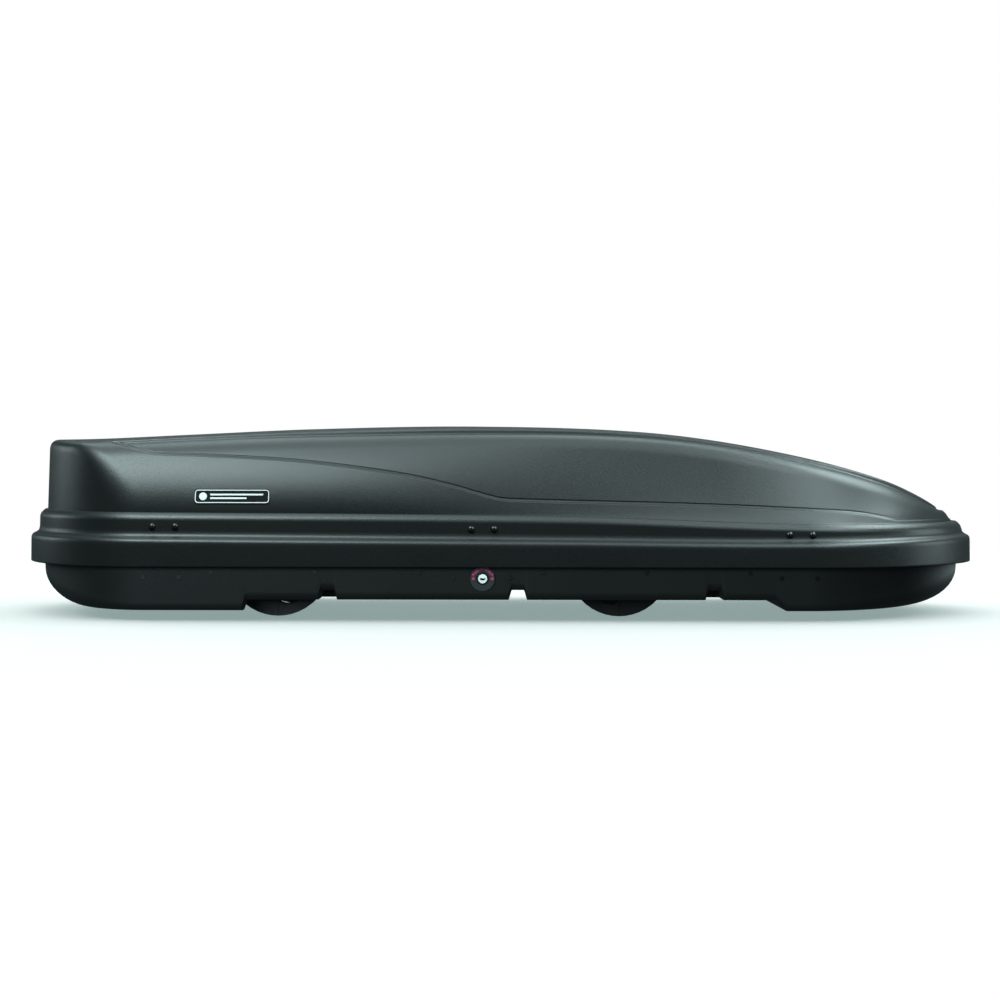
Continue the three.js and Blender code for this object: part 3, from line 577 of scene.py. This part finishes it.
# Rows of (inset, which height it counts from, height), from the skirt's edge to the upper ledge.
LID_OUTSIDE = [
    (1.2, "edge", 0), (0.3, "edge", 0.5), (0, "edge", 1.6), (0, "edge", 3.5),
    (0.35, "lower", -17), (0.4, "lower", -14), (0.6, "lower", -10), (1.1, "lower", -7.4),
    (2.1, "lower", -5.2), (3.8, "lower", -3.2), (6.5, "lower", -1.5), (9.5, "lower", 0),
    (12.3, "lower", 1.6), (14.5, "lower", 3.4), (16, "lower", 5.6), (16.9, "lower", 8.5),
    (17.6, "band", 0), (17.65, "band", 0.1), (18.05, "band", 0.9), (18.1, "band", 1),
    (19.1, "upper", -10.5), (20.7, "upper", -7.6), (23, "upper", -5), (25, "upper", -2.9),
    (27.3, "upper", -1.1), (28.9, "upper", 0),
]
LID_INSIDE = [
    (3.4, "edge", 0), (4, "edge", 0.6), (5, "lower", -12), (9, "lower", -5), (18, "lower", -2),
    (24, "lower", 2), (27, "upper", -8), (36, "upper", -4),
]


def build_lid():
    stations = Stations(np.linspace(NOSE_START, TAIL_START, 170), 90, 90)
    outside = np.concatenate([band_rows(stations, LID_OUTSIDE), upper_body(stations, 0)], 1)
    inside = np.concatenate([band_rows(stations, LID_INSIDE), upper_body(stations, WALL)], 1)
    lid = shell_object("lid_skin", np.concatenate([inside[:, ::-1], outside], 1))
    smooth_by_angle(lid, 50)
    piece(lid, LID_GREY, "lid")
    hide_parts("lid_shell")


def lid_side_y(x, z):
    """How far out the lid's body reaches at x and z."""
    nose_steps = 2
    run = upper_body(Stations([x], nose_steps, 2), 0)[nose_steps]
    lower_part = run[:ROWS + 10]
    return float(np.interp(z, lower_part[:, 2], -lower_part[:, 1]))


def band_y(x, z):
    """How far out the band between the ledges reaches at x and z."""
    low, high = float(lower_ledge(x)) + BAND_FOOT, float(upper_ledge(x)) - BAND_TOP
    return HALF_WIDTH - float(np.interp(z, [low, high], BAND_INSET))


# ---------------------------------------------------------------- lower shell
def ramp(start, end, at):
    """Goes from 0 at start to 1 at end in a straight line."""
    return np.clip((at - start) / (end - start), 0, 1)


def underside(x, y, spread_by):
    """The floor's height, with the raised middle and the grooves widened by spread_by."""
    rear = np.where(np.abs(y) > RECESS_EDGE_HALF, RECESS_REAR_EDGE, RECESS_REAR)
    front = RECESS_FRONT + spread_by
    recessed = np.minimum(
        ramp(rear - SLOPE_REAR - spread_by, rear - spread_by, x),
        ramp(front + SLOPE_FRONT, front - SLOPE_FRONT, x),
    )
    height = FLOOR_END + (FLOOR_MIDDLE - FLOOR_END) * recessed
    groove = 0 * x
    for at, reach in RIBS:
        across = ramp(RIB_HALF + SLOPE_RIB + spread_by, RIB_HALF + spread_by, np.abs(x - at))
        grooved = (reach == 0) | (np.abs(y) > reach + RIB_END)
        groove = np.maximum(groove, np.where(grooved, across, 0))
    return height + RIB_DEPTH * groove


# Steps from the corner to the centre line, closer where the recess and the grooves change.
FLOOR_SHARES = np.sort([*np.linspace(0, 0.995, 44), 0.9245, 0.9275, 0.752, 0.7545])[::-1]
CORNER_STEPS = 13


def bowl(stations, thickness):
    """Points (station, step, xyz) from the wall's foot, round the corner, to the centre line."""
    wall_x, wall_y = stations.outline(BOWL_INSET + thickness)
    dx, dy = wall_x - stations.start, wall_y
    reach = np.hypot(dx, dy)
    dx, dy = dx / reach, dy / reach
    out = CORNER_OUT[0] + (CORNER_OUT[1] - CORNER_OUT[0]) * stations.endness - thickness
    up = CORNER_UP[0] + (CORNER_UP[1] - CORNER_UP[0]) * stations.endness - thickness
    spread_by = SLOPE_RIB if thickness else 0
    points = []

    def add(r, lift):
        x, y = stations.start + dx * r, dy * r
        points.append(np.stack([x, y, underside(x, y, spread_by) + thickness + lift], -1))

    for a in np.radians(np.linspace(90, 0, CORNER_STEPS)):
        add(reach - out * (1 - math.sin(a)), up * (1 - math.cos(a)))
    for share in FLOOR_SHARES:
        add((reach - out) * share, 0)
    return np.stack(points, 1)


# Rows of (inset, height above the lower ledge): up the wall's outside, round the flange, down inside.
RIM = [
    (28, -50), (28, -16), (27.3, -13.9), (25.5, -13.1), (14.8, -13), (14, -13.6), (14, -16.4), (13.4, -17),
    (11.6, -17), (11, -16.4), (11, -9.6), (11.6, -9), (31.4, -9), (32, -9.6), (32, -50),
]


def base_side_x():
    """Places along the side, with a close pair at every bend of the underside."""
    edges = []
    for at, _ in RIBS:
        for offset in (RIB_HALF, RIB_HALF + SLOPE_RIB, RIB_HALF + 2 * SLOPE_RIB):
            edges += [at - offset, at + offset]
    for front in (RECESS_FRONT - SLOPE_FRONT, RECESS_FRONT + SLOPE_FRONT):
        edges += [front, front + SLOPE_RIB]
    for rear in (RECESS_REAR_EDGE, RECESS_REAR):
        edges += [rear, rear - SLOPE_REAR, rear - SLOPE_REAR - SLOPE_RIB]
    edges.append(RECESS_REAR_EDGE + SLOPE_REAR)
    tight = [e + d for e in edges for d in (-0.5, 0.5)]
    return sorted(set(tight) | set(np.linspace(TAIL_START, NOSE_START, 90)))


def build_base():
    stations = Stations(base_side_x(), 70, 70)
    rim = band_rows(stations, [(inset, "lower", height) for inset, height in RIM])
    section = np.concatenate([bowl(stations, 0)[:, ::-1], rim, bowl(stations, WALL)], 1)
    base = shell_object("base_skin", section)
    cutters = [lock_hole_cutter()]
    for end, x in BAR_X.items():
        back, ahead = (CLAMP_SHORT, CLAMP_LONG) if end == "front" else (CLAMP_LONG, CLAMP_SHORT)
        for y in BAR_Y.values():
            sides = (y - CLAMP_HALF, y + CLAMP_HALF)
            cutters.append(box_object((x - back, x + ahead), sides, CLAMP_CUT))
    cut_away(base, cutters)
    smooth_by_angle(base, 32)
    piece(base, BASE_BLACK, "base")
    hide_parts("base_shell")


def lock_hole_cutter():
    start, end = HOLE_Y
    profile = [(HOLE_RADIUS, 0), (HOLE_RADIUS, end - start)]
    return mesh_object("cutter", turned(profile, (LOCK_X, start, LOCK_Z), (0, 1, 0), 48))


# ---------------------------------------------------------------- rivets
# Profiles of (radius, height), and the flush rivets' places.
DOME = [
    (7, 0), (7, 0.5), (6.7, 0.9), (6, 1.1), (5.6, 2), (4.7, 3.1), (3.3, 3.9), (1.6, 4.3), (0.1, 4.4),
]
FLUSH = [(4.4, -0.4), (4.4, 0.5), (4.1, 0.8), (2.4, 0.9), (2.2, 0.4), (1.6, 0.3), (0.1, 0.3)]
BASE_RIVETS = [(-687, 83), (-618, 83), (-89, 83), (20, 83), (543, 83), (611, 83)]
BASE_RIVETS += [(x, 93) for x in (-557, -355, -154, 83, 283, 482)]


def join_bmeshes(parts):
    """One bmesh of all the parts, which are freed."""
    joined = bmesh.new()
    for part in parts:
        mesh = bpy.data.meshes.new("part")
        part.to_mesh(mesh)
        part.free()
        joined.from_mesh(mesh)
        bpy.data.meshes.remove(mesh)
    return joined


def build_lid_rivets():
    for side, facing in (("right", -1), ("left", 1)):
        domes = []
        for station in STATIONS:
            z = float(lower_ledge(station) + upper_ledge(station)) / 2 - RIVET_DROP
            for x in (station - RIVET_GAP, station + RIVET_GAP):
                at = (x, facing * band_y(x, z), z)
                domes.append(turned(DOME, at, (0, facing, 0.1)))
        lid_rivets = mesh_object(f"lid_rivets_{side}", join_bmeshes(domes))
        smooth_by_angle(lid_rivets)
        piece(lid_rivets, RIVET_BLACK_AND_KEYWAY_SHADE, "lid")


def build_base_rivets():
    flush = [turned(FLUSH, (x, BASE_RIVET_Y, z), (0, -1, 0), 24) for x, z in BASE_RIVETS]
    base_rivets = mesh_object("base_rivets", join_bmeshes(flush))
    smooth_by_angle(base_rivets)
    piece(base_rivets, FLUSH_BLACK, "base")


# ---------------------------------------------------------------- printed signs
PRINT_DEPTH = 0.15
ARC = (19.2, 16.6)  # the printed arc's outer and inner radius
ARC_ENDS = (28, 152)
ARROW_X, ARROW_HALF, ARROW_LOW, ARROW_HIGH = 17.9, 3.2, 5.2, 9.6
PADLOCK_X, PADLOCK_Z = 18.2, 0.8
PADLOCK_BODY = (-2.6, 2.6, -3, 0.8)  # its sides, bottom and top, from the padlock's centre
SHACKLE, SHACKLE_RISE, SHACKLE_SHIFT = (1.8, 1.1), 1, 1.6  # radii, centre, and an open one's move
# The keyway's outline, drawn as a flat black sheet: painted shade where the opening would be dark.
KEYWAY_SHADE = [
    (-5.4, 1.8), (0, 0.6), (5.4, 1.8), (5.4, -0.9),
    (2.4, -1.9), (0, -3), (-2.4, -1.9), (-5.4, -0.9),
]
# Thickness of the painted keyway shade, and how far below the barrel's centre it sits.
KEYWAY_SHADE_DEPTH, KEYWAY_SHADE_DROP = 0.12, 0.5
BADGE_LIFT, BADGE_DEPTH = 0.2, 1.2
BADGE_PRINT_DEPTH = 0.12
BADGE_PLATE = (146, 29, 7)  # width, height and corner radius
BADGE_FRAME = [(143, 26, 6), (140, 23, 4.6)]  # the same of the printed frame's outside and inside
BADGE_DOT, BADGE_DOT_X = 7.5, -56  # radius and place
BADGE_BARS = [(-42, 60, 3.6), (-42, 28, -3.6)]  # ends and height of the motif's bars
BADGE_BAR_HALF = 1.6


def flat_shape(bm, points, depth, holes=()):
    """Adds a flat outline of (across, up) points to bm, as a thin plate that faces -Y."""
    loops = [points, *holes]
    edges = []
    for loop in loops:
        verts = [bm.verts.new((x * MM, 0, z * MM)) for x, z in loop]
        edges += [bm.edges.new((a, b)) for a, b in zip(verts, verts[1:] + verts[:1])]
    made = bmesh.ops.triangle_fill(bm, use_beauty=True, use_dissolve=False, edges=edges)
    faces = [f for f in made["geom"] if isinstance(f, bmesh.types.BMFace)]
    grown = bmesh.ops.extrude_face_region(bm, geom=faces)
    lifted = [v for v in grown["geom"] if isinstance(v, bmesh.types.BMVert)]
    bmesh.ops.translate(bm, verts=lifted, vec=(0, -depth * MM, 0))
    bmesh.ops.recalc_face_normals(bm, faces=bm.faces)


def arc_points(radius, start, end, steps, centre=(0, 0)):
    """Points on an arc, from the angle start to end, in degrees."""
    return [
        (centre[0] + radius * math.cos(math.radians(a)), centre[1] + radius * math.sin(math.radians(a)))
        for a in np.linspace(start, end, steps)
    ]


def rectangle(low_x, high_x, low_z, high_z):
    return [(low_x, low_z), (high_x, low_z), (high_x, high_z), (low_x, high_z)]


def padlock(x, z, opened):
    """Outlines of a small padlock's body and shackle."""
    left, right, bottom, top = PADLOCK_BODY
    centre = (x + SHACKLE_SHIFT if opened else x, z + SHACKLE_RISE)
    shackle = arc_points(SHACKLE[0], 0, 180, 9, centre) + arc_points(SHACKLE[1], 180, 0, 9, centre)
    return [rectangle(x + left, x + right, z + bottom, z + top), shackle]


def build_lock_print():
    """The arc with its two arrowheads, and a closed and an open padlock."""
    start, end = ARC_ENDS
    shapes = [arc_points(ARC[0], start, end, 32) + arc_points(ARC[1], end, start, 32)]
    for side in (-1, 1):
        x = side * ARROW_X
        shapes.append([(x, ARROW_LOW), (x - ARROW_HALF, ARROW_HIGH), (x + ARROW_HALF, ARROW_HIGH)])
        shapes += padlock(side * PADLOCK_X, PADLOCK_Z, side > 0)
    bm = bmesh.new()
    for points in shapes:
        flat_shape(bm, points, PRINT_DEPTH)
    bm.transform(Matrix.Translation(Vector((LOCK_X, PRINT_Y, LOCK_Z)) * MM))
    piece(mesh_object("lock_print", bm), PRINT_RED, "base")


def build_keyway_shade():
    """A flat black shape on the lock barrel's face: painted shade standing in for the keyway's dark opening.
    """
    bm = bmesh.new()
    flat_shape(bm, KEYWAY_SHADE, KEYWAY_SHADE_DEPTH)
    bm.transform(Matrix.Translation(Vector((LOCK_X, KEYWAY_SHADE_Y, LOCK_Z - KEYWAY_SHADE_DROP)) * MM))
    body = body_of(frame["nodes"]["lock_barrel"])[0]
    piece(mesh_object("lock_keyway", bm), RIVET_BLACK_AND_KEYWAY_SHADE, body)


def rounded_rectangle(width, height, radius, steps=8):
    points = []
    for sx, sz, start in ((1, 1, 0), (-1, 1, 90), (-1, -1, 180), (1, -1, 270)):
        centre = (sx * (width / 2 - radius), sz * (height / 2 - radius))
        points += arc_points(radius, start, start + 90, steps, centre)
    return points


def badge_place():
    """Where the badge's back lies on the lid's leaning side."""
    low = lid_side_y(BADGE_X, BADGE_Z - BADGE_HALF)
    high = lid_side_y(BADGE_X, BADGE_Z + BADGE_HALF)
    lean = math.atan2(low - high, 2 * BADGE_HALF)
    at = Vector((BADGE_X, -(low + high) / 2 - BADGE_LIFT, BADGE_Z)) * MM
    return Matrix.Translation(at) @ Matrix.Rotation(-lean, 4, "X")


def build_badge():
    place = badge_place()
    plate = bmesh.new()
    flat_shape(plate, rounded_rectangle(*BADGE_PLATE), BADGE_DEPTH)
    plate.transform(place)
    plate = bevelled(mesh_object("badge_plate", plate), 0.4)
    piece(plate, BADGE_BLACK, "lid")
    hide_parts("badge")
    build_badge_print(place)


def build_badge_print(place):
    """A thin frame, a dot and two bars."""
    outside, inside = [rounded_rectangle(*size) for size in BADGE_FRAME]
    bm = bmesh.new()
    flat_shape(bm, outside, BADGE_PRINT_DEPTH, [inside])
    flat_shape(bm, arc_points(BADGE_DOT, 0, 350, 36, (BADGE_DOT_X, 0)), BADGE_PRINT_DEPTH)
    for low, high, z in BADGE_BARS:
        flat_shape(bm, rectangle(low, high, z - BADGE_BAR_HALF, z + BADGE_BAR_HALF), BADGE_PRINT_DEPTH)
    bm.transform(place @ Matrix.Translation((0, -BADGE_DEPTH * MM, 0)))
    piece(mesh_object("badge_print", bm), PRINT_WHITE, "lid")


# ---------------------------------------------------------------- carried-over CAD nodes
# The start of the nodes' names, their material and the width of their rounded edges.
FINISHES = [
    ("clamp_body", CLAMP_BLACK, 0.8),
    ("clamp_cover", CLAMP_BLACK, 1.6),
    ("clamp_knob", KNOB_GREY, 1.6),
    ("clamp_yoke", STEEL, 0.5),
    ("jaw_", CLAMP_BLACK, 1.2),
    ("rail_", STEEL, 0.4),
    ("hinge_leaf", ZINC, 0.4),
    ("hinge_strap", ZINC, 0.3),
    ("hinge_pin", STEEL, 0.3),
    ("lock_ring", RING_GREY, 0.7),
    ("lock_housing", CLAMP_BLACK, 0.4),
    ("lock_barrel", BRIGHT, 0.5),
    ("lock_cam", ZINC, 0.4),
    ("lock_bar_guide", ZINC, 0.2),
    ("lock_bar", STEEL, 0.3),
    ("latch_hook", STEEL, 0.4),
    ("striker", ZINC, 0.3),
    ("strut_tube", CLAMP_BLACK, 0.6),
    ("strut_rod", STEEL, 0.5),
    ("strut_foot", ZINC, 0.4),
    ("strut_head", ZINC, 0.4),
]


def finish_cad_nodes():
    for name, obj in frame["nodes"].items():
        if name in ("lid_shell", "base_shell", "badge"):  # replaced by finer meshes
            continue
        _, material, width = next(row for row in FINISHES if name.startswith(row[0]))
        paint(obj, material)
        bevelled(obj, width)
        smooth_by_angle(obj)


# ---------------------------------------------------------------- stage, light and camera
def emitting(name, color, strength):
    """A material that only glows."""
    material = bpy.data.materials.new(name)
    material.use_nodes = True
    tree = material.node_tree
    tree.nodes.clear()
    out = tree.nodes.new("ShaderNodeOutputMaterial")
    glow = tree.nodes.new("ShaderNodeEmission")
    glow.inputs["Color"].default_value = (*color, 1)
    glow.inputs["Strength"].default_value = strength
    tree.links.new(glow.outputs[0], out.inputs["Surface"])
    return material


def floor_material():
    material, shader = new_material("floor_white", (0.8, 0.82, 0.81), 0.9, specular=0.1)
    shader.inputs["Emission Color"].default_value = (0.75, 1, 0.97, 1)
    shader.inputs["Emission Strength"].default_value = 0.35
    return material


def build_stage():
    """A white floor and dome that light nothing and aren't mirrored in the pieces."""
    bm = bmesh.new()
    bmesh.ops.create_circle(bm, cap_ends=True, radius=3.4, segments=96)
    floor = paint(mesh_object("floor", bm), floor_material())
    bm = bmesh.new()
    bmesh.ops.create_icosphere(bm, subdivisions=4, radius=30)
    dome = paint(mesh_object("backdrop", bm), emitting("backdrop_white", (1, 1, 1), 1.0))
    for obj in (floor, dome):
        obj.visible_diffuse = False
        obj.visible_glossy = False
    dome.visible_shadow = False
    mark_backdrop(floor, dome)
    return floor


LIGHT_TINT = (0.8, 1, 1.02)
# Each light's name, place, target, size, power in watts and what it lights, in metres.
AREA_LIGHTS = [
    ("overhead", (0.3, -0.5, 2.6), (0.3, -0.3, 0), (5.0, 1.8), 54, "all"),
    ("rear_key", (-1.3, -1.4, 2.2), (-0.75, -0.3, 0.25), (1.5, 1.2), 82, "lid"),
    ("front_key", (1.5, -1.5, 1.9), (0.7, -0.3, 0.2), (1.4, 1.2), 36, "lid"),
    ("front_right", (3.4, -2.1, 1.9), (0.8, -0.2, 0.2), (1.4, 1.2), 15, "lid"),
    ("front_top", (2.1, 0.3, 2.3), (0.8, -0.3, 0.2), (1.4, 1.2), 70, "lid"),
    ("top_back", (-0.2, 1.7, 2.7), (-0.1, -0.2, 0.3), (4.0, 1.6), 52, "lid"),
    ("front_left", (-1.6, -4.2, 0.9), (-0.6, 0, 0.1), (2.0, 1.2), 40, "others"),
    ("left_side", (-3.9, 1.6, 1.0), (-0.8, 0, 0.2), (1.2, 1.2), 15, "all"),
    ("right_side", (4.4, 0.4, 0.7), (0.6, 0, 0.2), (1.2, 1.2), 28, "lid"),
    ("right_end", (3.4, 2.2, 0.6), (0.9, 0, 0.1), (1.0, 1.0), 36, "others"),
    ("lock_barrel_light", (-0.5, -2.4, 0.9), (-0.033, -0.35, 0.08), (0.8, 0.8), 52, "barrel"),
    ("lock_print_light", (-0.5, -2.4, 0.9), (-0.033, -0.35, 0.08), (0.8, 0.8), 20, "print"),
]


def place_light(data, place, direction, receivers):
    """Puts a light in the scene, which lights only its receivers."""
    light = bpy.data.objects.new(data.name, data)
    light.location = place
    light.rotation_euler = Vector(direction).to_track_quat("-Z", "Y").to_euler()
    bpy.context.collection.objects.link(light)
    group = bpy.data.collections.new(data.name)
    for obj in receivers:
        group.objects.link(obj)
    light.light_linking.receiver_collection = group


def area_light(name, place, target, size, power, receivers):
    """A soft rectangular light."""
    data = bpy.data.lights.new(name, "AREA")
    data.shape = "RECTANGLE"
    data.size, data.size_y = size
    data.energy = power
    data.color = LIGHT_TINT
    place_light(data, place, Vector(target) - Vector(place), receivers)


def floor_sun(floor):
    """A very wide sun for the floor, which gives the box its soft shadow."""
    data = bpy.data.lights.new("floor_sun", "SUN")
    data.angle = math.radians(150)
    data.energy = 3.4
    anywhere = (0, 0, 0)
    place_light(data, anywhere, (0, -0.8, -1), [floor])


def build_lights(floor):
    pieces = [obj for obj in bpy.data.objects if obj.type == "MESH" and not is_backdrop(obj)]
    lid = [obj for obj in pieces if body_of(obj) == ["lid"]]
    others = [obj for obj in pieces if obj not in lid]
    lit = {"all": pieces, "lid": lid, "others": others}
    for key in ("barrel", "print"):
        lit[key] = [obj for obj in others if obj.name == f"lock_{key}"]
    for *values, receivers in AREA_LIGHTS:
        area_light(*values, lit[receivers])
    floor_sun(floor)


def build_world():
    world = bpy.data.worlds.new("studio")
    world.use_nodes = True
    background = world.node_tree.nodes["Background"]
    background.inputs["Color"].default_value = (*LIGHT_TINT, 1)
    background.inputs["Strength"].default_value = 0.06
    bpy.context.scene.world = world
    bpy.context.scene.view_settings.view_transform = "Standard"


def build_camera():
    data = bpy.data.cameras.new("camera")
    data.lens = 77.76
    data.sensor_width = 36
    data.shift_y = -0.0424
    data.clip_end = 100
    camera = bpy.data.objects.new("camera", data)
    camera.location = (0, -4.5, 0.315)
    camera.rotation_euler = (math.radians(90), math.radians(-0.1), 0)
    bpy.context.collection.objects.link(camera)
    bpy.context.scene.camera = camera


build_lid()
build_base()
build_lid_rivets()
build_base_rivets()
build_lock_print()
build_keyway_shade()
build_badge()
finish_cad_nodes()
build_lights(build_stage())
build_world()
build_camera()
